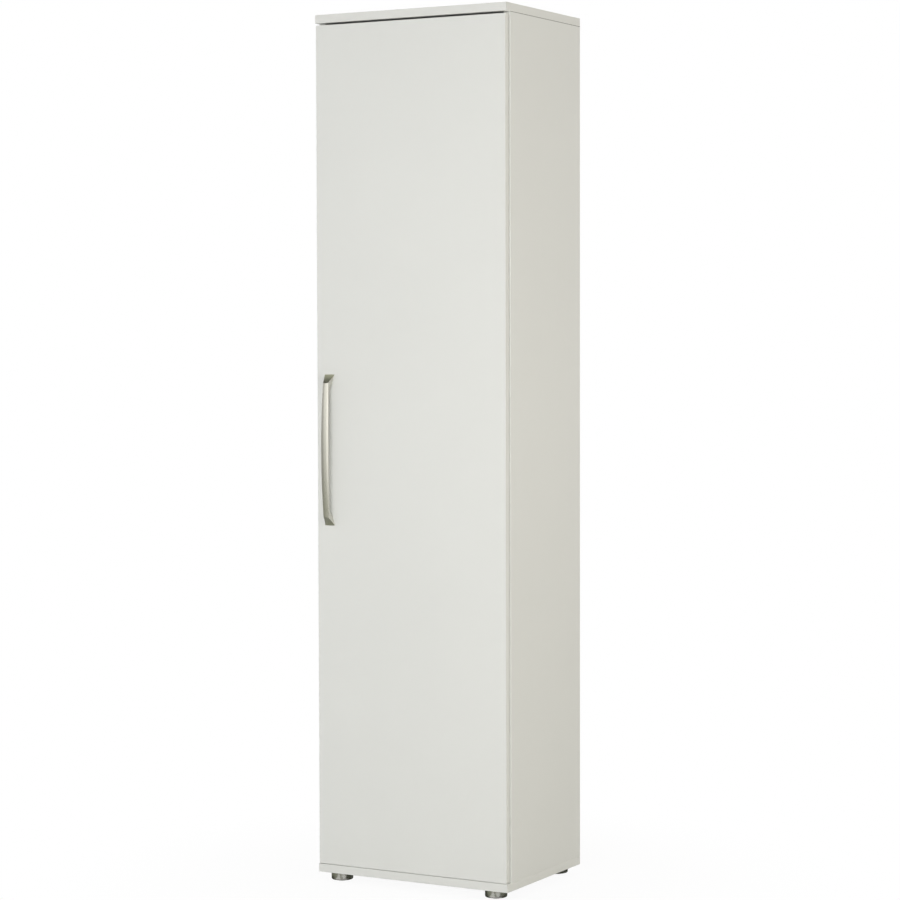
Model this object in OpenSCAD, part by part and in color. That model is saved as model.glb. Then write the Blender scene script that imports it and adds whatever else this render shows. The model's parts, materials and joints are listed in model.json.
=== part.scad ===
// Tall narrow one-door hall wardrobe. The floor is z = 0, the front looks towards -Y.

/* [Body] */
// Width across the top and bottom boards
body_w = 493; // [470:1:560]
// Height of the body without its feet
body_h = 1965; // [1850:5:2150]
// Depth from the front of the door to the back edge
body_d = 362; // [355:1:420]
// Thickness of the top and bottom boards
cap_t = 19; // [18:0.5:25]
// Thickness of the two side panels
side_t = 16; // [16:0.5:19]
// Thickness of the back panel
back_t = 3; // [2.5:0.5:5]
// Distance from the back edge to the back panel
back_inset = 8; // [6:1:14]
// Depth of the groove that holds the back panel
groove_depth = 8; // [6:0.5:10]
// Chamfer along the edges of the boards
edge_chamfer = 0.5; // [0.4:0.1:1.5]

/* [Shelves] */
// Thickness of the shelves
shelf_t = 16; // [16:0.5:19]
// Clear height above the hat shelf
hat_space = 300; // [240:5:380]
// Clear height under the shoe shelf
shoe_space = 270; // [200:5:330]
// Distance from the side panels' front edge to the shelves
shelf_setback = 12; // [5:1:25]
// Diameter of the shelf pins
pin_d = 5; // [5:0.5:6]
// Distance between two shelf pin holes up the panel
hole_pitch = 32; // [25:1:40]

/* [Door] */
// Thickness of the door
door_t = 16; // [16:0.5:19]
// Gap between the door's back and the side panels
door_gap = 2; // [1.8:0.1:3]
// Gap from the door to the body's left side
left_gap = 2; // [1:0.5:4]
// Gap from the door to the body's right side
right_gap = 3; // [2:0.5:4]
// Gap between the door and the top board
top_gap = 5; // [2:0.5:6]
// Gap between the door and the bottom board
bottom_gap = 1; // [1:0.5:6]
// Diameter of the door's bumper pads
bumper_d = 9; // [6:0.5:12]

/* [Handle] */
// Length of the bow handle
handle_len = 345.5; // [260:0.5:420]
// Distance between the handle's two screws
handle_hole = 320; // [224:1:392]
// Distance from the body's left side to the handle's middle
handle_x = 35; // [28:0.5:60]
// Height of the handle's middle above the underside of the body
handle_z = 975; // [800:5:1150]
// Width of the handle's feet on the door
handle_foot_w = 26; // [20:0.5:32]
// Width of the handle's necks
handle_neck_w = 13.5; // [10:0.5:20]
// Width of the handle's middle
handle_mid_w = 18.5; // [14:0.5:26]
// Distance from the door to the front of the necks
handle_neck_out = 19; // [14:0.5:24]
// Distance from the door to the front of the handle's middle
handle_out = 26; // [20:0.5:36]
// Thickness of the handle's grip
handle_t = 6.5; // [5:0.5:9]
// Height of each sloping leg along the door
handle_leg = 18.5; // [16:0.5:30]
// Crown of the handle's rounded front
handle_crown = 2.6; // [1:0.1:4]
// Hollow of the sloping legs
handle_hollow = 1.6; // [0:0.1:2.5]

/* [Hinges] */
// Distance from the door's ends to the outer hinges
hinge_end = 100; // [80:5:180]
// Diameter of the hinge cups
cup_d = 35; // [35:0.5:40]
// Depth of the hinge cups
cup_depth = 11.5; // [11:0.1:12.5]
// Wood left between the cup and the door's edge
cup_edge = 3; // [3:0.1:5]
// Distance between a cup's two screws
cup_screw_span = 48; // [42:0.5:52]
// Distance from a side panel's front edge to its hinge screws
plate_y = 37; // [35:0.5:45]
// Diameter of the hinge pivots
pivot_d = 2.6; // [2.4:0.1:2.8]

/* [Garment rail] */
// Length of the fixed channel
rail_len = 290; // [250:1:300]
// Width of the fixed channel
rail_w = 24; // [20:0.5:30]
// Height of the fixed channel
rail_h = 13; // [11:0.5:18]
// Thickness of the channel's steel
rail_wall = 1.5; // [1:0.1:2]
// Diameter of the hanger bar
bar_d = 10; // [8:0.5:14]
// Distance from the channel down to the hanger bar's middle
bar_drop = 34; // [28:0.5:50]

/* [Feet] */
// Height of the feet, from the floor to the body
foot_h = 20; // [18:0.5:40]
// Diameter of the feet
foot_d = 50; // [40:0.5:60]
// Distance from the body's sides to the middle of a foot
foot_x = 45; // [35:0.5:70]
// Distance from the body's front and back to the middle of a foot
foot_y = 30; // [26:0.5:60]
// Rounding of a foot's lower edge
foot_round = 3; // [1:0.5:5]
// Thickness of the glide under a foot
glide_t = 2.5; // [1.5:0.5:5]
// Diameter of the glide
glide_d = 27; // [20:0.5:36]
// Diameter of the threaded stem
stem_d = 10; // [8:0.5:12]

/* [Hidden] */

// Clearance of fasteners in their holes
fit = 0.1;
// Clearance between pieces that slide on one another
slide_fit = 0.3;
// Clearance of the pivots in the links
pivot_fit = 0.05;

front_y = (handle_out - body_d) / 2;
back_y = front_y + body_d;
base_z = foot_h;
floor_z = base_z + cap_t;
top_z = base_z + body_h;
ceil_z = top_z - cap_t;
side_y = front_y + door_t + door_gap;
side_d = back_y - side_y;
side_h = ceil_z - floor_z;
inner_x = body_w / 2 - side_t;
groove_w = back_t + 0.3;
back_face_y = back_y - back_inset - back_t;

// Rows of fittings that join the side panels to the top and bottom boards
joint_ys = [side_y + 60, back_y - 75];
dowel_ys = [side_y + 92, back_y - 107];
cam_d = 15;
cam_deep = 12.5;
cam_in = 34;
bolt_d = 7;
bolt_thread = 11;
dowel_d = 8;
dowel_half = 12;
dowel_len = 30;

hat_z = ceil_z - hat_space - shelf_t;
shoe_z = floor_z + shoe_space;
shelf_y = side_y + shelf_setback;
shelf_d = back_face_y - shelf_y;
pin_ys = [side_y + 50, side_y + 274];
pin_deep = 10;
pin_steps = [-2, -1, 0, 1, 2];
pin_z = shoe_z - pin_d / 2 - 1;

door_x0 = -body_w / 2 + left_gap;
door_x1 = body_w / 2 - right_gap;
door_z0 = floor_z + bottom_gap;
door_h = ceil_z - top_gap - door_z0;
door_back_y = front_y + door_t;
hinge_count = 4;
hinge_zs = [for (i = [0 : hinge_count - 1])
  door_z0 + hinge_end + i * (door_h - 2 * hinge_end) / (hinge_count - 1)];

handle_cx = -body_w / 2 + handle_x;
handle_cz = base_z + handle_z;

// A board with its twelve edges chamfered
module chamfered(w, h, c) {
  polygon([[c, 0], [w - c, 0], [w, c], [w, h - c], [w - c, h], [c, h], [0, h - c], [0, c]]);
}
module board(at, size, c = edge_chamfer) {
  translate(at) intersection() {
    linear_extrude(size[2]) chamfered(size[0], size[1], c);
    translate([0, size[1], 0]) rotate([90, 0, 0])
      linear_extrude(size[1]) chamfered(size[0], size[2], c);
    rotate([90, 0, 90]) linear_extrude(size[0]) chamfered(size[1], size[2], c);
  }
}
// Round bars and holes that run along X and along Y
module along_x(d, len) { rotate([0, 90, 0]) cylinder(d = d, h = len, $fn = 32); }
module along_y(d, len) { rotate([-90, 0, 0]) cylinder(d = d, h = len, $fn = 32); }
module up(d, len) { cylinder(d = d, h = len, $fn = 32); }

// Each child stands at a side panel's middle plane, mirrored for the left side
module both_sides() { children(); mirror([1, 0, 0]) children(); }

module back_groove_x(z) {
  translate([-inner_x - groove_depth, back_face_y - 0.15, z])
    cube([2 * (inner_x + groove_depth), groove_w, groove_depth + 1]);
}

// Holes in the top and bottom boards for the bolts and dowels of the sides
module cap_holes(z, dir) {
  both_sides() for (i = [0, 1]) {
    translate([body_w / 2 - side_t / 2, joint_ys[i], z])
      mirror([0, 0, dir]) translate([0, 0, -1]) up(bolt_d - 1 + 2 * fit, bolt_thread + 1.5);
    translate([body_w / 2 - side_t / 2, dowel_ys[i], z])
      mirror([0, 0, dir]) translate([0, 0, -1]) up(dowel_d + 2 * fit, dowel_half + 1.5);
  }
}

module top_board() {
  color("whitesmoke") difference() {
    board([-body_w / 2, front_y, ceil_z], [body_w, body_d, cap_t]);
    back_groove_x(ceil_z - 1);
    cap_holes(ceil_z, 0);
    for (x = bracket_xs) translate([x, bracket_hole_y, ceil_z - 1]) up(3 + 2 * fit, 13);
  }
}

module bottom_board() {
  color("whitesmoke") difference() {
    board([-body_w / 2, front_y, base_z], [body_w, body_d, cap_t]);
    back_groove_x(floor_z - groove_depth);
    cap_holes(floor_z, 1);
    for (p = foot_places) translate([p[0], p[1], base_z - 1]) up(nut_d + 2 * fit, cap_t + 2);
  }
}

// The right side panel; the left one is its mirror image with no hinge holes
module side_body() {
  difference() {
    board([inner_x, side_y, floor_z], [side_t, side_d, side_h]);
    translate([inner_x - 1, back_face_y - 0.15, floor_z - 1])
      cube([groove_depth + 1, groove_w, side_h + 2]);
    for (y = joint_ys) {
      for (z = [floor_z + cam_in, ceil_z - cam_in])
        translate([inner_x - 1, y, z]) along_x(cam_d + 2 * fit, cam_deep + 1);
      translate([inner_x + side_t / 2, y, floor_z - 1]) up(bolt_d + 1, cam_in + 1);
      translate([inner_x + side_t / 2, y, ceil_z - cam_in]) up(bolt_d + 1, cam_in + 1);
      translate([inner_x - 1, y, hat_z + shelf_t / 2])
        along_x(bolt_d - 1 + 2 * fit, bolt_thread + 1.5);
    }
    for (y = dowel_ys) {
      translate([inner_x + side_t / 2, y, floor_z - 1])
        up(dowel_d + 2 * fit, dowel_len - dowel_half + 1.5);
      translate([inner_x + side_t / 2, y, ceil_z - dowel_len + dowel_half - 0.5])
        up(dowel_d + 2 * fit, dowel_len - dowel_half + 1.5);
    }
    for (y = pin_ys) for (i = pin_steps)
      translate([inner_x - 1, y, pin_z + i * hole_pitch]) along_x(pin_d, pin_deep + 1);
  }
}

module left_side() { color("whitesmoke") mirror([1, 0, 0]) side_body(); }

module right_side() {
  color("whitesmoke") difference() {
    side_body();
    for (z = hinge_zs) for (s = [-1, 1])
      translate([inner_x - 1, side_y + plate_y, z + s * plate_screw_z])
        along_x(5, plate_screw_len + 1.5);
  }
}

module back_panel() {
  color("white") difference() {
    translate([-inner_x - groove_depth + 0.5, back_face_y, floor_z - groove_depth + 0.5])
      cube([2 * (inner_x + groove_depth - 0.5), back_t, side_h + 2 * groove_depth - 1]);
    translate([0, back_face_y - 1, wall_hole_z]) along_y(wall_hole_d, back_t + 2);
  }
}

module hat_shelf() {
  color("whitesmoke") difference() {
    board([-inner_x, shelf_y, hat_z], [2 * inner_x, shelf_d, shelf_t]);
    both_sides() for (y = joint_ys) {
      translate([inner_x - cam_in, y, hat_z - 1]) up(cam_d + 2 * fit, cam_deep + 1);
      translate([inner_x - cam_in, y, hat_z + shelf_t / 2]) along_x(bolt_d + 1, cam_in + 1);
    }
    for (y = rail_screw_ys) translate([0, y, hat_z - 1]) up(rail_screw_d + 2 * fit, 12);
  }
}

module shoe_shelf() {
  color("whitesmoke")
    board([-inner_x + 1, shelf_y, shoe_z], [2 * inner_x - 2, shelf_d - 1, shelf_t]);
}

// A pin with a collar at the panel and a flat tongue under the shelf
module shelf_pins() {
  color("silver") both_sides() for (y = pin_ys) translate([inner_x, y, pin_z]) {
    translate([-0.8, 0, 0]) along_x(pin_d - 2 * fit, pin_deep - 0.5 + 0.8);
    translate([-0.8, 0, 0]) along_x(pin_d + 2, 0.8);
    translate([-9, -pin_d / 2, -2]) cube([8.4, pin_d, shoe_z - pin_z + 2]);
  }
}

// A cam housing lies along Z with its bolt coming in along X
module cam() {
  difference() {
    up(cam_d, cam_deep - 0.5);
    translate([-1, 0, cam_deep - 4.5]) rotate([0, 90, 0]) up(bolt_d + 1, cam_d);
    translate([-cam_d / 2 - 1, -0.8, -1]) cube([cam_d + 2, 1.6, 3]);
    translate([-0.8, -4, -1]) cube([1.6, 8, 3]);
  }
}
module cams() {
  color("silver") both_sides() for (y = joint_ys) {
    translate([inner_x, y, ceil_z - cam_in]) rotate([0, 90, 0]) rotate([0, 0, 180]) cam();
    translate([inner_x, y, floor_z + cam_in]) rotate([0, 90, 0]) cam();
    translate([inner_x - cam_in, y, hat_z]) cam();
  }
}

// A bolt stands along Z with its thread below and its head in the cam
module cam_bolt() {
  translate([0, 0, -bolt_thread]) up(bolt_d - 1, bolt_thread);
  up(bolt_d - 1.5, cam_in - 2);
  translate([0, 0, cam_in - 2.5]) up(bolt_d - 0.5, 3);
}
module cam_bolts() {
  color("silver") both_sides() for (y = joint_ys) {
    translate([inner_x + side_t / 2, y, floor_z]) cam_bolt();
    translate([inner_x + side_t / 2, y, ceil_z]) mirror([0, 0, 1]) cam_bolt();
    translate([inner_x, y, hat_z + shelf_t / 2]) rotate([0, -90, 0]) cam_bolt();
  }
}

module dowels() {
  color("burlywood") both_sides() for (y = dowel_ys) {
    translate([inner_x + side_t / 2, y, floor_z - dowel_half]) up(dowel_d, dowel_len);
    translate([inner_x + side_t / 2, y, ceil_z + dowel_half - dowel_len]) up(dowel_d, dowel_len);
  }
}

// Angle bracket for the wall, under the top board and against the back panel
bracket_w = 40;
bracket_t = 2;
bracket_leg = 24;
bracket_xs = [-bracket_w / 2 + 10, bracket_w / 2 - 10];
bracket_hole_y = back_face_y - bracket_leg + 9;
wall_hole_d = 6;
wall_hole_z = ceil_z - 15;
module wall_bracket() {
  color("silver") difference() {
    union() {
      translate([-bracket_w / 2, back_face_y - bracket_leg, ceil_z - bracket_t])
        cube([bracket_w, bracket_leg, bracket_t]);
      translate([-bracket_w / 2, back_face_y - bracket_t, ceil_z - bracket_leg])
        cube([bracket_w, bracket_t, bracket_leg]);
    }
    for (x = bracket_xs) translate([x, bracket_hole_y, ceil_z - bracket_t - 1])
      up(3.4, bracket_t + 2);
    translate([0, back_face_y - bracket_t - 1, wall_hole_z])
      along_y(wall_hole_d, bracket_t + 2);
  }
}
module bracket_screws() {
  color("gray") for (x = bracket_xs)
    translate([x, bracket_hole_y, ceil_z - bracket_t]) {
      up(3, bracket_t + 10);
      translate([0, 0, -1.8]) up(6.5, 1.8);
    }
}

// The hinges. Their own x runs from the side panel's inner face towards the outside,
// and their own y from the side panel's front edge towards the back
pivot_a = [-23.4, 4.9];
pivot_b = [-16.6, -9];
pivot_c = [2.2, -4];
pivot_e = [2.3, -9.5];
// The inner link passes over its open pivot at this distance
open_play = 3.4;
// and ends this far short of it, so that it clears the cup's floor
link_short = 1.8;
link_in_half = 3;
link_gap = 0.4;
link_out_half = link_in_half + link_gap + 3;
cheek_t = 1.4;
cheek_in = link_out_half + link_gap;
cheek_out = cheek_in + cheek_t;
rivet_t = 0.8;
link_w = 4;
fork_root = 8;
cup_x = body_w / 2 - right_gap - cup_edge - cup_d / 2 - inner_x;
cup_wall = 1;
cup_flange = 0.8;
cup_screw_x = cup_x - 6;
plate_screw_z = 16;
plate_screw_len = 11;
plate_t = 2.5;
plate_w = 16;
plate_len = 48;
rib_out = 9;
arm_y0 = plate_y - 15;
arm_y1 = plate_y + 29;
arm_screw_ys = [plate_y - 4, plate_y + 20];

module at_hinges() {
  for (z = hinge_zs) translate([inner_x, side_y, z]) children();
}
function turn(p, q) = atan2(q[1] - p[1], q[0] - p[0]);
function span(p, q) = sqrt(pow(q[0] - p[0], 2) + pow(q[1] - p[1], 2));
module disc(p, d, z0, z1) {
  translate([p[0], p[1], z0]) cylinder(d = d, h = z1 - z0, $fn = 32);
}
// A flat bar with round ends, as an outline
module bar(p, q, w) {
  translate(p) circle(d = w, $fn = 32);
  translate(q) circle(d = w, $fn = 32);
  translate(p) rotate(turn(p, q)) translate([0, 0.1 - w / 2]) square([span(p, q), w - 0.2]);
}
module plate(z0, z1) { translate([0, 0, z0]) linear_extrude(z1 - z0) children(); }
// The same plate above and below the hinge's middle
module pair(z0, z1) { plate(z0, z1) children(); plate(-z1, -z0) children(); }

module hinge_plates() {
  color("silver") at_hinges() difference() {
    union() {
      translate([-plate_t, plate_y - plate_w / 2, -plate_len / 2]) cube([plate_t, plate_w, plate_len]);
      translate([-rib_out, arm_y0 + 2, -cheek_in + 0.4])
        cube([rib_out, arm_y1 - arm_y0 - 2, 2 * cheek_in - 0.8]);
    }
    for (s = [-1, 1]) translate([-plate_t - 1, plate_y, s * plate_screw_z])
      along_x(5 + 2 * fit, plate_t + 2);
    for (y = arm_screw_ys) translate([-rib_out - 1, y, 0]) along_x(4 + 2 * fit, 7);
  }
}
module plate_screws() {
  color("gray") at_hinges() for (s = [-1, 1])
    translate([-plate_t, plate_y, s * plate_screw_z]) {
      along_x(5 - 2 * fit, plate_t + plate_screw_len);
      translate([-1.6, 0, 0]) along_x(9, 1.6);
    }
}
// Channel that straddles the plate's rib, with two cheeks that reach to the cup
module hinge_arms() {
  heel = [-rib_out + 2, arm_y0 + 2.5];
  elbow = [-18.5, 1];
  color("silver") at_hinges() difference() {
    union() {
      pair(cheek_in, cheek_out) {
        bar(pivot_a, elbow, 4.4);
        bar(elbow, pivot_b, 4.4);
        translate(pivot_b) circle(d = 5.4, $fn = 32);
        bar(pivot_a, heel, 6);
        translate([-rib_out - cheek_t, arm_y0]) square([rib_out + cheek_t - 4, arm_y1 - arm_y0]);
      }
      translate([-rib_out - cheek_t, arm_y0, -cheek_out])
        cube([cheek_t, arm_y1 - arm_y0, 2 * cheek_out]);
      translate([pivot_a[0], pivot_a[1], -cheek_out]) rotate([0, 0, turn(pivot_a, heel)])
        translate([5, 3 - cheek_t, 0]) cube([span(pivot_a, heel) - 7.5, cheek_t, 2 * cheek_out]);
    }
    for (p = [pivot_a, pivot_b]) disc(p, pivot_d + 2 * fit, -cheek_out - 1, cheek_out + 1);
    for (y = arm_screw_ys) translate([-rib_out - cheek_t - 1, y, 0]) along_x(4 + 2 * fit, cheek_t + 2);
  }
}
module arm_screws() {
  color("gray") at_hinges() for (y = arm_screw_ys) translate([-rib_out - cheek_t, y, 0]) {
    along_x(4, cheek_t + 5.5);
    translate([-1.8, 0, 0]) difference() {
      along_x(7, 1.8);
      translate([-1, -3, -0.5]) cube([1.8, 6, 1]);
      translate([-1, -0.5, -3]) cube([1.8, 1, 6]);
    }
  }
}
module rivet(p) {
  disc(p, pivot_d, -cheek_out - rivet_t, cheek_out + rivet_t);
  for (s = [0, 1]) mirror([0, 0, s]) disc(p, pivot_d + 1.8, cheek_out, cheek_out + rivet_t);
}
module arm_pivots() {
  color("silver") at_hinges() { rivet(pivot_a); rivet(pivot_b); }
}
// A fork: solid at the arm, two plates at the cup
module outer_links() {
  color("silver") at_hinges() difference() {
    plate(-link_out_half, link_out_half) {
      translate(pivot_a) circle(d = 6.4, $fn = 32);
      bar(pivot_a, pivot_c, link_w);
      translate(pivot_c) circle(d = 5.2, $fn = 32);
    }
    plate(-link_in_half - link_gap, link_in_half + link_gap)
      translate(pivot_a) rotate(turn(pivot_a, pivot_c))
        translate([fork_root, -link_w]) square([span(pivot_a, pivot_c), 2 * link_w]);
    for (p = [pivot_a, pivot_c])
      disc(p, pivot_d + 2 * pivot_fit, -link_out_half - 1, link_out_half + 1);
  }
}
module inner_links() {
  tip_turn = turn(pivot_b, pivot_e) + 90;
  tip = [pivot_e[0] + open_play * cos(tip_turn) - link_short * sin(tip_turn),
    pivot_e[1] + open_play * sin(tip_turn) + link_short * cos(tip_turn)];
  color("silver") at_hinges() difference() {
    plate(-link_in_half, link_in_half) {
      translate(pivot_b) circle(d = 5.8, $fn = 32);
      bar(pivot_b, tip, 2.2);
    }
    disc(pivot_b, pivot_d + 2 * pivot_fit, -link_in_half - 1, link_in_half + 1);
  }
}
boss_z = cheek_out + rivet_t + 0.4;
module cup_round(d, y0, y1) { translate([cup_x, y0, 0]) along_y(d, y1 - y0); }
module hinge_cups() {
  floor_y = -door_gap - cup_depth;
  color("silver") at_hinges() difference() {
    union() {
      difference() {
        union() {
          cup_round(cup_d, floor_y, -door_gap);
          intersection() {
            cup_round(cup_d + 4, -door_gap, -door_gap + cup_flange);
            translate([cup_x - cup_d, -door_gap - 1, -cup_d]) cube([1.5 * cup_d + 0.4, 3, 2 * cup_d]);
          }
          translate([cup_screw_x - 5.5, -door_gap, -cup_screw_span / 2 - 6])
            cube([11, cup_flange, cup_screw_span + 12]);
        }
        cup_round(cup_d - 2 * cup_wall, floor_y + cup_wall, 1);
      }
      intersection() {
        cup_round(cup_d - cup_wall, floor_y + cup_wall / 2, -door_gap);
        for (s = [0, 1]) mirror([0, 0, s]) translate([pivot_c[0] - 3.5, floor_y, boss_z])
          cube([cup_d, cup_depth, cup_d]);
      }
    }
    translate([cup_x + 10, -door_gap - 1.8, -cheek_in]) cube([cup_d, 4, 2 * cheek_in]);
    for (s = [-1, 1]) translate([cup_screw_x, -door_gap - 1, s * cup_screw_span / 2])
      along_y(3 + 2 * fit, 4);
    for (p = [pivot_c, pivot_e]) disc(p, pivot_d + 2 * fit, -boss_z - 3, boss_z + 3);
  }
}
module cup_pivots() {
  color("silver") at_hinges() {
    pair(link_in_half + link_gap, boss_z + 2.8) translate(pivot_c) circle(d = pivot_d, $fn = 32);
    disc(pivot_e, pivot_d, -boss_z - 2.8, boss_z + 2.8);
  }
}
module cup_screws() {
  color("gray") at_hinges() for (s = [-1, 1])
    translate([cup_screw_x, -door_gap + cup_flange, s * cup_screw_span / 2]) {
      translate([0, -10, 0]) along_y(3, 10);
      along_y(6.5, 1);
    }
}

module door_panel() {
  color("white") difference() {
    board([door_x0, front_y, door_z0], [door_x1 - door_x0, door_t, door_h]);
    for (z = hinge_zs) {
      translate([inner_x + cup_x, door_back_y - cup_depth - fit, z])
        along_y(cup_d + 2 * fit, cup_depth + 2);
      for (s = [-1, 1])
        translate([inner_x + cup_screw_x, door_back_y - 10.5, z + s * cup_screw_span / 2])
          along_y(3 + 2 * fit, 12);
    }
    for (s = [-1, 1]) translate([handle_cx, front_y - 1, handle_cz + s * handle_hole / 2])
      along_y(5, door_t + 2);
  }
}

// The handle's own x runs along the door's height and its own y away from the door
neck_half = handle_len / 2 - handle_leg;
bow_rise = handle_out - handle_neck_out;
bow_r = arc_r(neck_half, bow_rise);
crown_r = arc_r(handle_mid_w / 2, handle_crown);
leg_lip = 1.2;
leg_slope = (handle_neck_out - leg_lip) / handle_leg;
past_bend = 6;
finger_foot = 2;
finger_lean = 0.9;
// Radius of an arc with this half chord and rise
function arc_r(half, rise) = (half * half + rise * rise) / (2 * rise);
module wide_disc(top, r) { translate([0, top - r]) circle(r = r, $fn = 1440); }
// The hollow that makes a sloping leg concave
module leg_hollow() {
  half = norm([handle_leg, handle_neck_out - leg_lip]) / 2 + past_bend / 2;
  r = arc_r(half, handle_hollow);
  translate([-handle_len / 2 - 1, leg_lip - leg_slope]) rotate(atan(leg_slope))
    translate([half, r - handle_hollow]) circle(r = r, $fn = 180);
}
module handle_side() {
  top = handle_out + 2;
  far = handle_len / 2 - (top - leg_lip) / leg_slope;
  finger = neck_half - finger_foot;
  difference() {
    polygon([[-handle_len / 2, 0], [-handle_len / 2, leg_lip], [-far, top], [far, top],
      [handle_len / 2, leg_lip], [handle_len / 2, 0]]);
    for (s = [0, 1]) mirror([s, 0]) leg_hollow();
    intersection() {
      wide_disc(handle_out - handle_t, bow_r);
      polygon([[-finger - finger_lean, -1], [-finger + finger_lean * top, top],
        [finger - finger_lean * top, top], [finger + finger_lean, -1]]);
    }
  }
}
function half_width(along) = handle_mid_w / 2
  - (handle_mid_w - handle_neck_w) / 2 * pow(along / neck_half, 2);
module handle_front() {
  steps = 12;
  side = concat([[-handle_len / 2, handle_foot_w / 2]],
    [for (i = [-steps : steps]) [i / steps * neck_half, half_width(i / steps * neck_half)]],
    [[handle_len / 2, handle_foot_w / 2]]);
  polygon(concat(side, [for (i = [len(side) - 1 : -1 : 0]) [side[i][0], -side[i][1]]]));
}
// The crown is a ring whose round section is wider than the handle
module handle() {
  color("silver") translate([handle_cx, front_y, handle_cz]) rotate([0, -90, 0])
    rotate([0, 0, 180]) difference() {
      intersection() {
        translate([0, 0, -handle_foot_w / 2 - 1]) linear_extrude(handle_foot_w + 2) handle_side();
        translate([0, handle_out + 3, 0]) rotate([90, 0, 0])
          linear_extrude(handle_out + 4) handle_front();
        translate([0, handle_out - bow_r, 0])
          rotate_extrude($fn = 1440) translate([bow_r - crown_r, 0]) circle(r = crown_r, $fn = 180);
      }
      for (s = [-1, 1]) translate([s * handle_hole / 2, -1, 0]) along_y(4 + 2 * fit, 8);
    }
}
module handle_screws() {
  color("gray") for (s = [-1, 1]) translate([handle_cx, 0, handle_cz + s * handle_hole / 2]) {
    translate([0, front_y - 6.5, 0]) along_y(4, door_t + 6.5);
    translate([0, door_back_y, 0]) difference() {
      along_y(8, 2.2);
      translate([-3, 1.2, -0.5]) cube([6, 2, 1]);
    }
  }
}

// Clear pads that the closed door rests on at the left side panel
module door_bumpers() {
  color("lightgray") for (z = [door_z0 + 60, handle_cz, door_z0 + door_h - 60])
    translate([-body_w / 2 + side_t / 2 + 1, door_back_y, z])
      along_y(bumper_d, door_gap - slide_fit);
}

// Pull-out garment rail under the hat shelf
rail_y = side_y + 34;
rail_z = hat_z - rail_h;
rail_screw_ys = [rail_y + 40, rail_y + rail_len - 40];
rail_screw_d = 3.5;
head_t = rail_h - 2 * rail_wall - 3.2;
slider_len = rail_len - 14;
slider_y = rail_y + 6;
slot_w = rail_w - 2 * rail_wall - 9;
bar_z = rail_z - bar_drop;
drop_t = 3;
module rail_channel() {
  color("silver") difference() {
    translate([-rail_w / 2, rail_y, rail_z]) cube([rail_w, rail_len, rail_h]);
    translate([-rail_w / 2 + rail_wall, rail_y - 1, rail_z + rail_wall])
      cube([rail_w - 2 * rail_wall, rail_len + 2, rail_h - 2 * rail_wall]);
    translate([-slot_w / 2, rail_y - 1, rail_z - 1]) cube([slot_w, rail_len + 2, rail_wall + 2]);
    for (y = rail_screw_ys) translate([0, y, hat_z - rail_wall - 1])
      up(rail_screw_d + 0.4, rail_wall + 2);
  }
}
module rail_screws() {
  color("gray") for (y = rail_screw_ys) translate([0, y, hat_z - rail_wall]) {
    up(rail_screw_d, rail_wall + 10);
    translate([0, 0, -1.6]) up(6.5, 1.6);
  }
}
module rail_slider() {
  color("silver") {
    translate([-rail_w / 2 + rail_wall + slide_fit, slider_y, rail_z + rail_wall + slide_fit])
      cube([rail_w - 2 * rail_wall - 2 * slide_fit, slider_len, head_t]);
    translate([-slot_w / 2 + slide_fit, slider_y, rail_z - 4])
      cube([slot_w - 2 * slide_fit, slider_len, 5 + rail_wall + slide_fit]);
    for (y = [slider_y, slider_y + slider_len - drop_t])
      translate([0, y, 0]) difference() {
        union() {
          translate([-9, 0, bar_z]) cube([18, drop_t, rail_z - bar_z - 1]);
          translate([0, 0, bar_z]) along_y(18, drop_t);
        }
        translate([0, -1, bar_z]) along_y(bar_d + 2 * fit, drop_t + 2);
      }
  }
}
module hanger_bar() {
  color("silver") translate([0, slider_y - 2, bar_z]) along_y(bar_d, slider_len + 4);
}
module rail_knob() {
  color("gray") translate([0, slider_y - 2, bar_z]) rotate([90, 0, 0])
    rotate_extrude($fn = 48)
      polygon([[0, 0], [bar_d / 2 + 2, 0], [bar_d / 2 + 1, 4], [bar_d / 2 + 4, 9],
        [bar_d / 2 + 4, 11], [bar_d / 2 + 2, 13], [0, 13]]);
}

// Levelling feet
foot_places = [[-body_w / 2 + foot_x, front_y + foot_y], [body_w / 2 - foot_x, front_y + foot_y],
  [-body_w / 2 + foot_x, back_y - foot_y], [body_w / 2 - foot_x, back_y - foot_y]];
nut_d = stem_d + 4;
stem_top = cap_t - 2;
module foot(i) {
  color("silver") translate([foot_places[i][0], foot_places[i][1], 0]) difference() {
    rotate_extrude($fn = 64) {
      difference() {
        translate([0, glide_t]) square([foot_d / 2, foot_h - glide_t]);
        translate([foot_d / 2 - foot_round, glide_t - 1]) square([foot_round + 1, foot_round + 1]);
      }
      intersection() {
        translate([foot_d / 2 - foot_round, glide_t + foot_round]) circle(r = foot_round, $fn = 48);
        translate([foot_d / 2 - foot_round, glide_t]) square([foot_round, foot_round]);
      }
      translate([0, foot_h - 1]) square([stem_d / 2, stem_top + 1]);
    }
    translate([0, 0, foot_h + stem_top - 4]) cylinder(d = 5.8, h = 5, $fn = 6);
  }
}
module glide(i) {
  color("dimgray") translate([foot_places[i][0], foot_places[i][1], 0])
    rotate_extrude($fn = 48)
      polygon([[0, 0], [glide_d / 2 - 1, 0], [glide_d / 2, 1], [glide_d / 2, glide_t], [0, glide_t]]);
}
module foot_nuts() {
  color("silver") for (p = foot_places) translate([p[0], p[1], base_z]) difference() {
    up(nut_d, cap_t - 1);
    translate([0, 0, -1]) up(stem_d + 2 * pivot_fit, cap_t + 2);
  }
}
module foot_front_left() { foot(0); }
module foot_front_right() { foot(1); }
module foot_back_left() { foot(2); }
module foot_back_right() { foot(3); }
module glide_front_left() { glide(0); }
module glide_front_right() { glide(1); }
module glide_back_left() { glide(2); }
module glide_back_right() { glide(3); }

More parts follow.
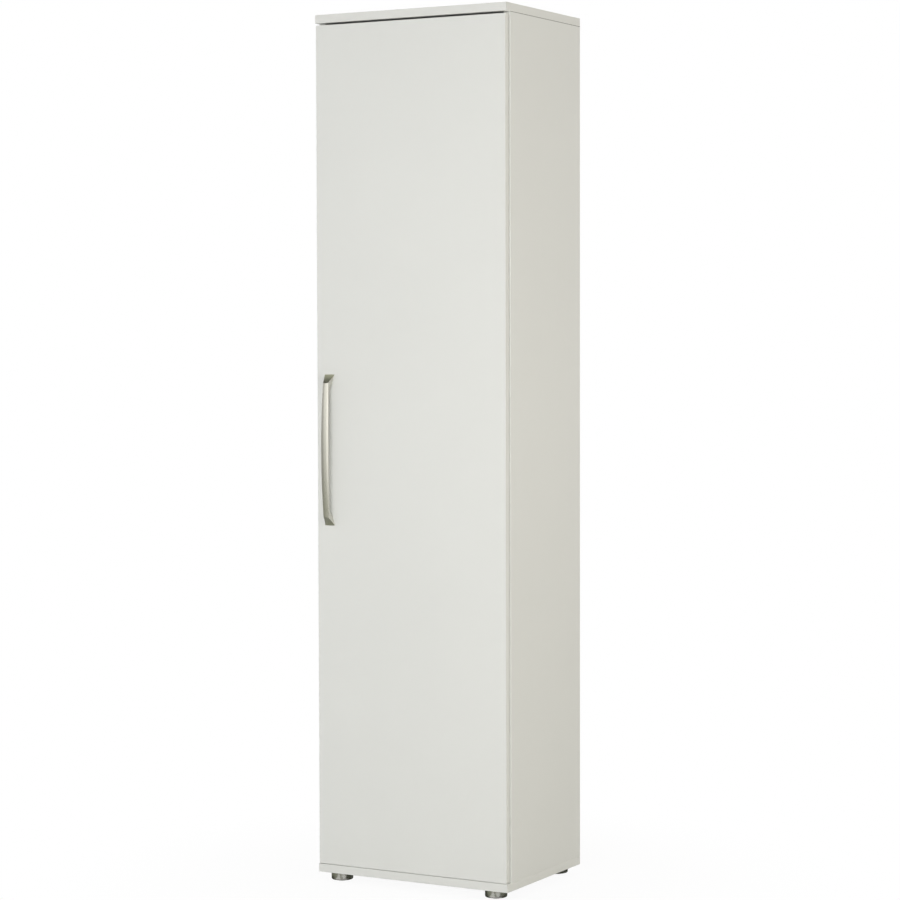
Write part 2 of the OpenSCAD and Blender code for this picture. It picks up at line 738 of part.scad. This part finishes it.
top_board();
bottom_board();
left_side();
right_side();
back_panel();
hat_shelf();
shoe_shelf();
shelf_pins();
cams();
cam_bolts();
dowels();
foot_nuts();
hinge_plates();
plate_screws();
hinge_arms();
arm_screws();
arm_pivots();
outer_links();
inner_links();
hinge_cups();
cup_pivots();
cup_screws();
door_panel();
handle();
handle_screws();
door_bumpers();
rail_channel();
rail_screws();
rail_slider();
hanger_bar();
rail_knob();
wall_bracket();
bracket_screws();
foot_front_left();
foot_front_right();
foot_back_left();
foot_back_right();
glide_front_left();
glide_front_right();
glide_back_left();
glide_back_right();
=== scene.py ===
"""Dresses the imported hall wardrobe: materials, screws, joint lines, studio and camera."""

import json
from math import cos, pi, radians, sin

import bmesh
import bpy
from mathutils import Matrix, Vector


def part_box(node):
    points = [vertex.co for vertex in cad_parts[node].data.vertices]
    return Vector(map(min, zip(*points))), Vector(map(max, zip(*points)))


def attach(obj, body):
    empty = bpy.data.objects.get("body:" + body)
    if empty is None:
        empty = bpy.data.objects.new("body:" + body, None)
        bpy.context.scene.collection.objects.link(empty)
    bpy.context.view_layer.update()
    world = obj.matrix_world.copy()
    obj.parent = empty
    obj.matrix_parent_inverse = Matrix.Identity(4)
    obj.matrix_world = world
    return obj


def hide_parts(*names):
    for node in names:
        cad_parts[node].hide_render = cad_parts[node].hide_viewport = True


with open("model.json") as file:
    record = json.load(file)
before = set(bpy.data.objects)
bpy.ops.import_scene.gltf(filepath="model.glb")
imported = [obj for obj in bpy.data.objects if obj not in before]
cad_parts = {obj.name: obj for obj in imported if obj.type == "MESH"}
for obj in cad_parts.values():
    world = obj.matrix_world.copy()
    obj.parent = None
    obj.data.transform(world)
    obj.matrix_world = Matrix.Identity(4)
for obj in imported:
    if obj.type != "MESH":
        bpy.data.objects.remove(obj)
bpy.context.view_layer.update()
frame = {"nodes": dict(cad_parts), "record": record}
nodes = frame["nodes"]
slot_of = {part["node"]: part["material_slot"] for part in frame["record"]["subparts"]}

# Camera, fitted to the body's corners in the photograph, from the lower front corner on the right
CAMERA_OFFSET = Vector((2.7016, -5.0970, 1.2495))
CAMERA_YAW = radians(29.172)
CAMERA_PITCH = radians(-2.629)
CAMERA_ROLL = radians(-0.139)
SENSOR = 36.0
LENS = 104.905
VIEW_END = 60

# Colours of the boards
OFF_WHITE = (0.748, 0.758, 0.735)
EDGING = (0.730, 0.737, 0.712)
# Painted light: the bottom board's edges are lighter, offsetting the shade they get
LIT_BASE_EDGING = (0.758, 0.768, 0.745)
# Painted shade on the chamfers at a level board's vertical corners
CORNER_SHADE = (0.50, 0.50, 0.47)
BARE_FIBRE = ((0.20, 0.115, 0.06), (0.36, 0.23, 0.13))
# Painted shadow of the joint lines, partly the raw board edge
JOINT_SHADE = (0.075, 0.07, 0.06)

# Where a colour ramp starts and ends
RAMP_ENDS = (0.3, 0.7)

# A board's edge is where the normal's share along the thin axis is less than this
EDGE_FACING = 0.8
# Painted shade on a corner chamfer is where the product of the normal's shares along X and Y is more than
# this
CORNER_FACING = 0.25
# Thickness of the hardboard's bare brown side
BARE_SIDE = 0.0006

# Joint lines, dark strips of painted shadow for the joint's gap and partly its raw edge, lie in the
# grooves that the chamfers make between a side panel and the top board
CHAMFER = 0.0005
LINE_WIDTH = 0.0009
LINE_DEPTH = 0.0009
LINE_LAP = 0.00003
LINE_END = 0.0006

# Screws: pitch of the thread, its core as a share of the shank, and lengths at the tip and neck
PITCH = 0.0016
CORE_SHARE = 0.34
TIP = 0.0008
TIP_SHARE = 0.6
THREAD_START = 0.0014
THREAD_END = 0.001
NECK = 0.0004
# A head's outline from its seat up, as shares of its radius and height
HEAD_OUTLINE = ((0.96, 0), (1, 0.2), (0.97, 0.45), (0.84, 0.75), (0.6, 0.93), (0.3, 0.99), (0, 1))
# A cross recess at its top and bottom: share of the head's height, and reach and half width as
# shares of its radius
RECESS = ((1.3, 0.66, 0.15), (0.25, 0.3, 0.08))
# Body, axis and way that the heads look along, head diameter and height, and shank diameter
SCREWS = {
    "plate_screws": ("carcass", 0, -1, 0.0089, 0.0016, 0.0047),
    "cup_screws": ("door", 1, 1, 0.0064, 0.001, 0.0029),
    "rail_screws": ("carcass", 2, -1, 0.0064, 0.0016, 0.0034),
    "bracket_screws": ("carcass", 2, -1, 0.0064, 0.0018, 0.0029),
}
SEGMENTS = 32
SMOOTH_BELOW = radians(35)

# Studio
WORLD_LEVEL = 0.36
FLOOR_REACH = 12.0
FLOOR_SHADOW = 0.06
SHADOW_NEAR = 0.3
SHADOW_FAR = 1.0
WHITE = (1, 1, 1)
WARM = (1, 0.925, 0.765)
NEUTRAL = (1, 0.99, 0.95)
OLIVE = (0.97, 1.0, 0.76)
CARD_REACH = 6.0
CARD_TOP = 4.5
CARD_FRONT = -7
CARD_BACK = 2.5
FLOOR_CARD_Z = 0.002
# Painted shade: the floor card's level under the wardrobe, where the floor lies in shade
UNDER_SHADE_LEVEL = 0.06
# Where a card's level changes at the wardrobe's footprint: axis, start, end, values at both
FOOTPRINT = (
    ("X", -0.27, -0.25, 0.0, 1.0),
    ("X", 0.25, 0.27, 1.0, 0.0),
    ("Y", -0.185, -0.165, 0.0, 1.0),
    ("Y", 0.19, 0.21, 1.0, 0.0),
)
# Cards on the floor by a front foot: ends in x from the foot's middle and in y from its front,
# height and level
FOOT_CARDS = {
    "card_0": (-0.014, 0.014, -0.084, -0.004, 0.003, 0.6),
    "card_1": (0.028, 0.07, -0.064, -0.004, 0.003, 0.6),
    "rim_card": (-0.004, 0.034, -0.016, 0.012, 0.0025, 0.33),
}


# Shader nodes
def add(tree, kind, links=None, **values):
    """Adds a node, sets its properties or inputs by name and links sockets into it."""
    made = tree.nodes.new(kind)
    for key, value in values.items():
        if hasattr(made, key):
            setattr(made, key, value)
        else:
            made.inputs[key.replace("_", " ")].default_value = value
    for socket, source in (links or {}).items():
        tree.links.new(source, made.inputs[socket])
    return made


def place(tree, stretch=(1, 1, 1)):
    """Object coordinates in metres, stretched."""
    coordinates = add(tree, "ShaderNodeTexCoord")
    mapping = add(tree, "ShaderNodeMapping", {"Vector": coordinates.outputs["Object"]})
    mapping.inputs["Scale"].default_value = stretch
    return mapping.outputs["Vector"]


def split(tree, vector):
    """The X, Y and Z of a vector, by name."""
    return add(tree, "ShaderNodeSeparateXYZ", {"Vector": vector}).outputs


def noise(tree, vector, scale, detail=3.0):
    """The grey of a noise texture."""
    return add(tree, "ShaderNodeTexNoise", {"Vector": vector}, Scale=scale, Detail=detail).outputs["Fac"]


def ramp(tree, factor, low, high):
    """A colour that runs from one to another over the middle of a factor."""
    made = add(tree, "ShaderNodeValToRGB", {"Fac": factor})
    for stop, position, colour in zip(made.color_ramp.elements, RAMP_ENDS, (low, high)):
        stop.position = position
        stop.color = (*colour, 1)
    return made.outputs["Color"]


def maths(tree, operation, first, second=0.0):
    """A maths node between a socket and a socket or a number."""
    made = add(tree, "ShaderNodeMath", {0: first}, operation=operation)
    if isinstance(second, float):
        made.inputs[1].default_value = second
    else:
        tree.links.new(second, made.inputs[1])
    return made.outputs[0]


def blended(tree, factor, first, second):
    """A colour between a socket's and a socket's or a plain one."""
    made = add(tree, "ShaderNodeMix", {0: factor, 6: first}, data_type="RGBA")
    if isinstance(second, tuple):
        made.inputs[7].default_value = (*second, 1)
    else:
        tree.links.new(second, made.inputs[7])
    return made.outputs[2]


def shade(colour, share):
    """A plain colour made darker or lighter."""
    return tuple(channel * share for channel in colour)


# Materials
def emptied(data):
    """The node tree of a new material or world, without nodes."""
    data.use_nodes = True
    data.node_tree.nodes.clear()
    return data.node_tree


def shader(name, base, roughness, metallic=0.0):
    """A new material, its tree and its Principled shader, with plain values for what isn't linked."""
    material = bpy.data.materials.new(name)
    material.use_nodes = True
    surface = material.node_tree.nodes["Principled BSDF"]
    surface.inputs["Base Color"].default_value = (*base, 1)
    surface.inputs["Roughness"].default_value = roughness
    surface.inputs["Metallic"].default_value = metallic
    return material, material.node_tree, surface


def paint(tree, surface, colour):
    """Links a colour to the surface."""
    tree.links.new(colour, surface.inputs["Base Color"])


def rough(tree, surface, factor, low, high):
    """Varies the surface's roughness between two values."""
    made = add(tree, "ShaderNodeMapRange", {"Value": factor}, To_Min=low, To_Max=high)
    tree.links.new(made.outputs["Result"], surface.inputs["Roughness"])


def bump(tree, surface, height, depth, strength):
    """Gives the surface a fine relief, its depth in metres."""
    made = add(tree, "ShaderNodeBump", {"Height": height}, Distance=depth, Strength=strength)
    tree.links.new(made.outputs["Normal"], surface.inputs["Normal"])


def coated_board(name, thick, edging=EDGING):
    """Melamine coated board that is thin along one axis: faint clouds in the colour, a fine pearl
    grain, edges of a slightly darker and greyer tone, and on level boards painted shade on the chamfers
    at the corners."""
    material, tree, surface = shader(name, OFF_WHITE, 0.42)
    vector = place(tree)
    clouds = noise(tree, vector, scale=2.2, detail=4.0)
    face = ramp(tree, clouds, shade(OFF_WHITE, 0.985), shade(OFF_WHITE, 1.01))
    facing = split(tree, add(tree, "ShaderNodeTexCoord").outputs["Normal"])
    across = maths(tree, "LESS_THAN", maths(tree, "ABSOLUTE", facing[thick]), EDGE_FACING)
    tone = blended(tree, across, face, edging)
    # Level boards: painted shade on the chamfers at the vertical corners
    if thick == "Z":
        both = maths(tree, "ABSOLUTE", maths(tree, "MULTIPLY", facing["X"], facing["Y"]))
        tone = blended(tree, maths(tree, "GREATER_THAN", both, CORNER_FACING), tone, CORNER_SHADE)
    paint(tree, surface, tone)
    grain = noise(tree, vector, scale=650.0, detail=2.0)
    rough(tree, surface, grain, low=0.38, high=0.5)
    bump(tree, surface, grain, depth=0.00004, strength=0.6)
    return material


def hardboard(name):
    """Hardboard: lacquered white towards the inside, bare brown fibre towards the wall."""
    material, tree, surface = shader(name, OFF_WHITE, 0.5)
    vector = place(tree)
    fibre = noise(tree, place(tree, (1, 1, 0.35)), scale=260.0, detail=6.0)
    brown = ramp(tree, fibre, *BARE_FIBRE)
    white = ramp(tree, noise(tree, vector, scale=3.0), shade(OFF_WHITE, 0.97), OFF_WHITE)
    bare = maths(tree, "GREATER_THAN", split(tree, vector)["Y"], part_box("back_panel")[1][1] - BARE_SIDE)
    paint(tree, surface, blended(tree, bare, white, brown))
    rough(tree, surface, fibre, low=0.45, high=0.65)
    bump(tree, surface, fibre, depth=0.00005, strength=0.5)
    return material


def brushed(name, colour, roughness, along, fine=1500.0, spread=0.05):
    """Brushed metal, with its lines running along one axis."""
    material, tree, surface = shader(name, colour, roughness, metallic=1.0)
    stretch = tuple(0.02 if axis == along else 1.0 for axis in "XYZ")
    lines = noise(tree, place(tree, stretch), fine, detail=4.0)
    paint(tree, surface, ramp(tree, lines, shade(colour, 0.9), colour))
    rough(tree, surface, lines, roughness - spread, roughness + spread)
    bump(tree, surface, lines, depth=0.000012, strength=0.5)
    return material


def plated(name, colour, roughness):
    """Nickel-plated pressed steel, with faint marks from the tool."""
    material, tree, surface = shader(name, colour, roughness, metallic=1.0)
    marks = noise(tree, place(tree), scale=420.0, detail=5.0)
    paint(tree, surface, ramp(tree, marks, shade(colour, 0.88), colour))
    rough(tree, surface, marks, roughness - 0.07, roughness + 0.12)
    bump(tree, surface, marks, depth=0.00001, strength=0.4)
    return material


def moulded(name, colour, roughness):
    """Moulded plastic or rubber with a fine skin."""
    material, tree, surface = shader(name, colour, roughness)
    skin = noise(tree, place(tree), scale=900.0)
    paint(tree, surface, ramp(tree, skin, shade(colour, 0.9), shade(colour, 1.05)))
    rough(tree, surface, skin, roughness - 0.06, roughness + 0.1)
    bump(tree, surface, skin, depth=0.00003, strength=0.4)
    return material


def wood(name, light, dark, along):
    """Bare wood, with its grain running along one axis."""
    material, tree, surface = shader(name, light, 0.6)
    stretch = tuple(0.08 if axis == along else 1.0 for axis in "XYZ")
    grain = noise(tree, place(tree, stretch), scale=420.0, detail=6.0)
    paint(tree, surface, ramp(tree, grain, dark, light))
    rough(tree, surface, grain, low=0.5, high=0.7)
    bump(tree, surface, grain, depth=0.00006, strength=0.5)
    return material


def joint_line(name):
    """The dark line of a butt joint: painted shadow of its gap, partly the raw board edge, slightly
    mottled.
    """
    material, tree, surface = shader(name, JOINT_SHADE, 0.8)
    mottle = noise(tree, place(tree), scale=300.0, detail=4.0)
    paint(tree, surface, ramp(tree, mottle, (0.055, 0.05, 0.043), (0.10, 0.095, 0.085)))
    rough(tree, surface, mottle, low=0.7, high=0.9)
    return material


side_panel = coated_board("coated_panel", "X")
own_finishes = {
    "left_side": side_panel,
    "right_side": side_panel,
    # The bottom board's edges are painted lighter: painted light
    "bottom_board": coated_board("coated_base", "Z", LIT_BASE_EDGING),
}
finishes = {
    "board": coated_board("coated_board", "Z"),
    "door": coated_board("coated_door", "Y"),
    "back": hardboard("hardboard"),
    "steel": plated("nickel_plate", (0.62, 0.61, 0.59), 0.3),
    "rail_chrome": brushed("bright_chrome", (0.66, 0.66, 0.66), 0.18, "Y"),
    "handle_nickel": brushed("satin_nickel", (0.71, 0.70, 0.645), 0.3, "Z", spread=0.08),
    "beech": wood("beech", (0.62, 0.40, 0.22), (0.45, 0.27, 0.13), "Z"),
    "pad": moulded("clear_pad", (0.6, 0.6, 0.58), 0.3),
    "knob": moulded("grey_plastic", (0.055, 0.055, 0.058), 0.45),
    "foot_metal": brushed("foot_metal", (0.72, 0.72, 0.70), 0.22, "Z", fine=900.0),
    "glide": moulded("glide_plastic", (0.16, 0.16, 0.155), 0.5),
}
for name, node in nodes.items():
    for material_slot in node.material_slots:
        material_slot.material = own_finishes.get(name, finishes[slot_of[name]])


# Pieces
def made_mesh(bm, name):
    """Turns a bmesh into a mesh whose faces all look outwards."""
    bmesh.ops.recalc_face_normals(bm, faces=bm.faces)
    mesh = bpy.data.meshes.new(name)
    bm.to_mesh(mesh)
    bm.free()
    return mesh


def linked(name, data):
    """A new object in the scene."""
    obj = bpy.data.objects.new(name, data)
    bpy.context.collection.objects.link(obj)
    return obj


def solid(bm, name, body, material):
    """Makes a bmesh into a piece with crisp edges and soft curves that rides on a body."""
    mesh = made_mesh(bm, name)
    mesh.materials.append(material)
    mesh.shade_smooth()
    mesh.set_sharp_from_angle(angle=SMOOTH_BELOW)
    obj = linked(name, mesh)
    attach(obj, body)
    return obj


def bridge(bm, first, second):
    """Closes two loops of as many corners into a block."""
    bm.faces.new(first)
    bm.faces.new(second[::-1])
    for i in range(len(first)):
        j = (i + 1) % len(first)
        bm.faces.new((first[i], second[i], second[j], first[j]))


def top_joint(side, way, material):
    """The joint line between a side panel and the top board, wedge-shaped in its groove."""
    low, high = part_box(side)
    outer = high.x if way > 0 else low.x
    face = outer - way * (CHAMFER - LINE_WIDTH / 2)
    half = LINE_WIDTH / 2 + LINE_LAP
    section = ((face, high.z - half), (face, high.z + half), (outer - way * LINE_DEPTH, high.z))
    ends = (low.y + LINE_END, high.y - LINE_END)
    bm = bmesh.new()
    near, far = [[bm.verts.new((x, y, z)) for x, z in section] for y in ends]
    bridge(bm, near, far)
    solid(bm, "joint_top_" + side.split("_")[0], "carcass", material)


seam = joint_line("joint_line")
top_joint("left_side", -1, seam)
top_joint("right_side", 1, seam)


def lathe(bm, profile):
    """Turns (radius, height) points about Z. A radius of 0 makes one point."""
    turns = [2 * pi * k / SEGMENTS for k in range(SEGMENTS)]
    rings = []
    for radius, height in profile:
        around = turns if radius else [0.0]
        rings.append([bm.verts.new((radius * cos(turn), radius * sin(turn), height)) for turn in around])
    for lower, upper in zip(rings, rings[1:]):
        for k in range(SEGMENTS):
            n = (k + 1) % SEGMENTS
            places = ((lower, k), (lower, n), (upper, n), (upper, k))
            corners = [ring[i % len(ring)] for ring, i in places]
            bm.faces.new(list(dict.fromkeys(corners)))


def screw_body(radius, head_h, shank_d, length):
    """A screw along Z without its recess, head up, its seat at 0, with rings of thread."""
    outer, core = shank_d / 2, shank_d * CORE_SHARE
    profile = [(0, -length), (core * TIP_SHARE, -length + TIP)]
    z = -length + THREAD_START
    while z + PITCH < -THREAD_END:
        profile += [(core, z), (outer, z + PITCH / 2)]
        z += PITCH
    profile += [(core, z), (outer, -NECK), (outer, 0)]
    profile += [(radius * across, head_h * up) for across, up in HEAD_OUTLINE]
    bm = bmesh.new()
    lathe(bm, profile)
    return made_mesh(bm, "screw_body")


def screw_cross(radius, head_h):
    """The two tapered bars that cut a cross recess."""
    bm = bmesh.new()
    for turned in (False, True):
        ends = []
        for up, reach, half in RECESS:
            long, short = radius * reach, radius * half
            loop = ((long, short), (-long, short), (-long, -short), (long, -short))
            if turned:
                loop = [(y, x) for x, y in loop]
            ends.append([bm.verts.new((x, y, head_h * up)) for x, y in loop])
        bridge(bm, *ends)
    return made_mesh(bm, "screw_cross")


def screw(head_d, head_h, shank_d, length):
    """The mesh of a screw with a cross recess in its head."""
    radius = head_d / 2
    body = linked("screw_part", screw_body(radius, head_h, shank_d, length))
    cutter = linked("screw_part", screw_cross(radius, head_h))
    cut = body.modifiers.new("recess", "BOOLEAN")
    cut.operation = "DIFFERENCE"
    cut.solver = "EXACT"
    cut.use_self = True
    cut.object = cutter
    bpy.context.view_layer.update()
    result = bpy.data.meshes.new_from_object(body.evaluated_get(bpy.context.evaluated_depsgraph_get()))
    for obj in (body, cutter):
        bpy.data.objects.remove(obj)
    return result


def islands(node):
    """The lowest and highest corner of each separate solid of a CAD node, in order."""
    bm = bmesh.new()
    bm.from_mesh(nodes[node].data)
    seen = set()
    found = []
    for start in bm.verts:
        if start in seen:
            continue
        seen.add(start)
        stack = [start]
        points = []
        while stack:
            vert = stack.pop()
            points.append(vert.co.copy())
            fresh = {edge.other_vert(vert) for edge in vert.link_edges} - seen
            seen |= fresh
            stack += fresh
        found.append([Vector(end(p[i] for p in points) for i in range(3)) for end in (min, max)])
    bm.free()
    return sorted(found, key=lambda pair: tuple(pair[0]))


def screws(node, body, axis, way, head_d, head_h, shank_d):
    """Screws with cross recesses in place of a node's plain ones. The heads look along an axis."""
    heads = Vector([way if i == axis else 0 for i in range(3)])
    turn = Vector((0, 0, 1)).rotation_difference(heads).to_matrix().to_4x4()
    places = islands(node)
    length = places[0][1][axis] - places[0][0][axis]
    single = screw(head_d, head_h, shank_d, length - head_h)
    bm = bmesh.new()
    for low, high in places:
        seat = (low + high) / 2
        seat[axis] = high[axis] - head_h if way > 0 else low[axis] + head_h
        mesh = single.copy()
        mesh.transform(Matrix.Translation(seat) @ turn)
        bm.from_mesh(mesh)
        bpy.data.meshes.remove(mesh)
    piece = solid(bm, node + "_crossed", body, finishes["steel"])
    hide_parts(node)


for name, facts in SCREWS.items():
    screws(name, *facts)


# Studio
def softbox(name, where, target, width, height, power, colour=WHITE):
    """A soft light that neither the camera nor a reflection sees."""
    light = bpy.data.lights.new(name, "AREA")
    light.color = colour
    light.shape = "RECTANGLE"
    light.size = width
    light.size_y = height
    light.energy = power
    obj = linked(name, light)
    obj.location = where
    obj.rotation_euler = (Vector(target) - obj.location).to_track_quat("-Z", "Y").to_euler()
    obj.visible_camera = False
    obj.visible_glossy = False


def flat_mesh(name, corners, material):
    """A flat piece of the studio with the given corners."""
    mesh = bpy.data.meshes.new(name)
    mesh.from_pydata([Vector(corner) for corner in corners], [], [tuple(range(len(corners)))])
    mesh.materials.append(material)
    obj = linked(name, mesh)
    return obj


def fade(tree, value, near, far, near_value, far_value):
    """A value that changes smoothly between two places."""
    made = add(tree, "ShaderNodeMapRange", {"Value": value}, From_Min=near, From_Max=far,
               To_Min=near_value, To_Max=far_value, interpolation_type="SMOOTHSTEP")
    return made.outputs["Result"]


def card(name, corners, colour, axis, near, far, near_level, far_level, under=None):
    """A studio card that only reflections see. Its level runs along one axis, and may be another one
    under the wardrobe, a painted shade there."""
    material = bpy.data.materials.new(name)
    tree = emptied(material)
    where = split(tree, place(tree))
    level = fade(tree, where[axis], near, far, near_level, far_level)
    if under is not None:
        edges = [fade(tree, where[side], *ends) for side, *ends in FOOTPRINT]
        covered = edges[0]
        for edge in edges[1:]:
            covered = maths(tree, "MULTIPLY", covered, edge)
        mixed = add(tree, "ShaderNodeMix", {"Factor": covered, "A": level}, data_type="FLOAT")
        mixed.inputs["B"].default_value = under
        level = mixed.outputs["Result"]
    glow = add(tree, "ShaderNodeEmission", {"Strength": level}, Color=(*colour, 1))
    add(tree, "ShaderNodeOutputMaterial", {"Surface": glow.outputs[0]})
    obj = flat_mesh(name, corners, material)
    obj.visible_camera = False
    obj.visible_diffuse = False
    obj.visible_transmission = False
    obj.visible_shadow = False


def seen_as_background(tree):
    """One where the ray comes from the camera, a glossy surface or through a clear one."""
    path = add(tree, "ShaderNodeLightPath").outputs
    seen = maths(tree, "MAXIMUM", path["Is Camera Ray"], path["Is Glossy Ray"])
    return maths(tree, "MAXIMUM", seen, path["Is Transmission Ray"])


def make_world():
    """A white background, which lights the object at a plain level."""
    world = bpy.data.worlds.new("studio")
    bpy.context.scene.world = world
    tree = emptied(world)
    plain = add(tree, "ShaderNodeBackground", Color=(*WHITE, 1), Strength=WORLD_LEVEL)
    white = add(tree, "ShaderNodeBackground", Color=(*WHITE, 1), Strength=1.0)
    mix = add(tree, "ShaderNodeMixShader",
              {"Fac": seen_as_background(tree), 1: plain.outputs[0], 2: white.outputs[0]})
    add(tree, "ShaderNodeOutputWorld", {"Surface": mix.outputs[0]})


def make_floor():
    """A white floor that keeps a share of the wardrobe's shadow near it."""
    material = bpy.data.materials.new("studio_floor")
    tree = emptied(material)
    grain = noise(tree, place(tree), scale=3.0)
    paper = add(tree, "ShaderNodeBsdfDiffuse",
                {"Color": ramp(tree, grain, (0.93, 0.93, 0.92), (0.95, 0.95, 0.94))})
    white = add(tree, "ShaderNodeEmission", Color=(*WHITE, 1), Strength=1.0)
    centre = add(tree, "ShaderNodeVectorMath", {0: place(tree)}, operation="LENGTH").outputs["Value"]
    bright = fade(tree, centre, SHADOW_NEAR, SHADOW_FAR, 1 - FLOOR_SHADOW, 1.0)
    share = maths(tree, "MULTIPLY", bright, seen_as_background(tree))
    mix = add(tree, "ShaderNodeMixShader", {"Fac": share, 1: paper.outputs[0], 2: white.outputs[0]})
    add(tree, "ShaderNodeOutputMaterial", {"Surface": mix.outputs[0]})
    r = FLOOR_REACH
    flat_mesh("floor", [(-r, -r, 0), (r, -r, 0), (r, r, 0), (-r, r, 0)], material)


def make_camera():
    """The photograph's camera, placed from the wardrobe's lower front corner on the right."""
    data = bpy.data.cameras.new("camera")
    data.sensor_width = SENSOR
    data.sensor_fit = "HORIZONTAL"
    data.lens = LENS
    data.clip_end = VIEW_END
    camera = linked("camera", data)
    yaw, pitch, roll = CAMERA_YAW, CAMERA_PITCH, CAMERA_ROLL
    forward = Vector((-sin(yaw) * cos(pitch), cos(yaw) * cos(pitch), sin(pitch)))
    level = Vector((cos(yaw), sin(yaw), 0))
    above = level.cross(forward)
    right = level * cos(roll) + above * sin(roll)
    up = right.cross(forward)
    turned = Matrix((right, up, -forward)).transposed().to_4x4()
    low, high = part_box("bottom_board")
    corner = Vector((high[0], low[1], low[2]))
    camera.matrix_world = Matrix.Translation(corner + CAMERA_OFFSET) @ turned
    bpy.context.scene.camera = camera


def upright(left, right, bottom, top):
    """The corners of an upright card between two (x, y) places."""
    return [(*left, bottom), (*right, bottom), (*right, top), (*left, top)]


def level_card(x0, x1, y0, y1, z):
    """The corners of a level card, seen from above."""
    return [(x0, y0, z), (x1, y0, z), (x1, y1, z), (x0, y1, z)]


make_world()
make_floor()
make_camera()
# Name, place, what the light looks at, width, height and watts
softbox("key_light", (0.7, -3.3, 1.42), (0, 0, 1.15), 1.4, 1.8, 41.2)
softbox("fill_light", (4.3, -1.3, 1.35), (0, 0, 1.0), 1.8, 2.4, 57, WARM)
softbox("left_light", (-4.3, -1.0, 1.2), (0, 0, 1.0), 1.8, 2.4, 23)
softbox("top_light", (0, 0.1, 4.4), (0, 0.1, 2.0), 1.2, 1.2, 35)
softbox("back_light", (-2.4, 3.6, 1.8), (0, 0, 1.0), 2.0, 2.4, 50)

reach = CARD_REACH
on_floor = level_card(-reach, reach, -reach, reach, FLOOR_CARD_Z)
overhead = level_card(-reach, reach, -reach, reach, CARD_TOP)
on_left = upright((-reach, CARD_FRONT), (-reach, CARD_BACK), 0, CARD_TOP)
in_front = upright((-reach, CARD_FRONT), (1, CARD_FRONT), 0, CARD_TOP)
by_key_light = upright((0.05, -3.4), (1.9, -3.1), 0.35, 2.35)
# The floor card falls in level towards and under the wardrobe: painted shade of the floor, as reflections
# see it
# Name, corners, colour, the axis along which the level runs, where it starts and ends, both levels
card("floor_card", on_floor, OLIVE, "Y", -0.5, 0.15, 0.32, 0.09, UNDER_SHADE_LEVEL)
card("ceiling_card", overhead, OLIVE, "Y", -1.9, -0.1, 0.62, 0.05)
card("left_card", on_left, NEUTRAL, "Z", 0.0, 2.4, 0.32, 0.75)
card("front_card", in_front, NEUTRAL, "Z", 0.0, 2.2, 0.5, 1.3)
card("key_card", by_key_light, NEUTRAL, "Z", 0.4, 2.0, 1.3, 2.0)
for foot in ("foot_front_left", "foot_front_right"):
    low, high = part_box(foot)
    middle = (low.x + high.x) / 2
    for label, (left, right, near, far, z, glow) in FOOT_CARDS.items():
        outline = level_card(middle + left, middle + right, low.y + near, low.y + far, z)
        card("%s_%s" % (foot, label), outline, NEUTRAL, "Y", -1.0, 0.0, glow, glow)
bpy.context.scene.view_settings.view_transform = "Standard"
